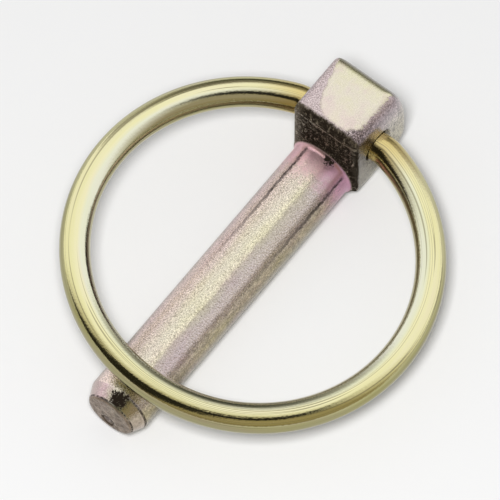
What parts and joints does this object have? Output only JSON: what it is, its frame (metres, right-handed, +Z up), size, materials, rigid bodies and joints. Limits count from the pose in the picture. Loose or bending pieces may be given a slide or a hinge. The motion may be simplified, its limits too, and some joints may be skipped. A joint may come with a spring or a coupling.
{
  "type": "linch pin",
  "caption": "Plated linch pin: a round shank with a coned tip, an offset forged block head, and a sprung wire ring that swings in the head and closes over the tip.",
  "frame": {"origin": "on the shank's axis, where the full-diameter shank begins at the fillet under the head", "axes": "+X along the shank to the tip, +Z up from the surface it lies on, the side on which the ring closes"},
  "size_m": [0.065, 0.057, 0.0186],
  "materials": {
    "pin_zinc": "satin yellow-passivated zinc plating over a forged surface",
    "ring_zinc": "bright yellow-passivated zinc plating on drawn spring wire"
  },
  "bodies": {
    "pin": {"pin": "pin_zinc"},
    "ring": {"ring": "ring_zinc"}
  },
  "joints": [
    {"name": "ring_swing", "type": "hinge", "parent": "pin", "child": "ring", "pos_m": [-0.00545, 0, 0.00575], "axis": [0.0941, -0.9919, 0.0855], "range_deg": [0, 338]}
  ]
}
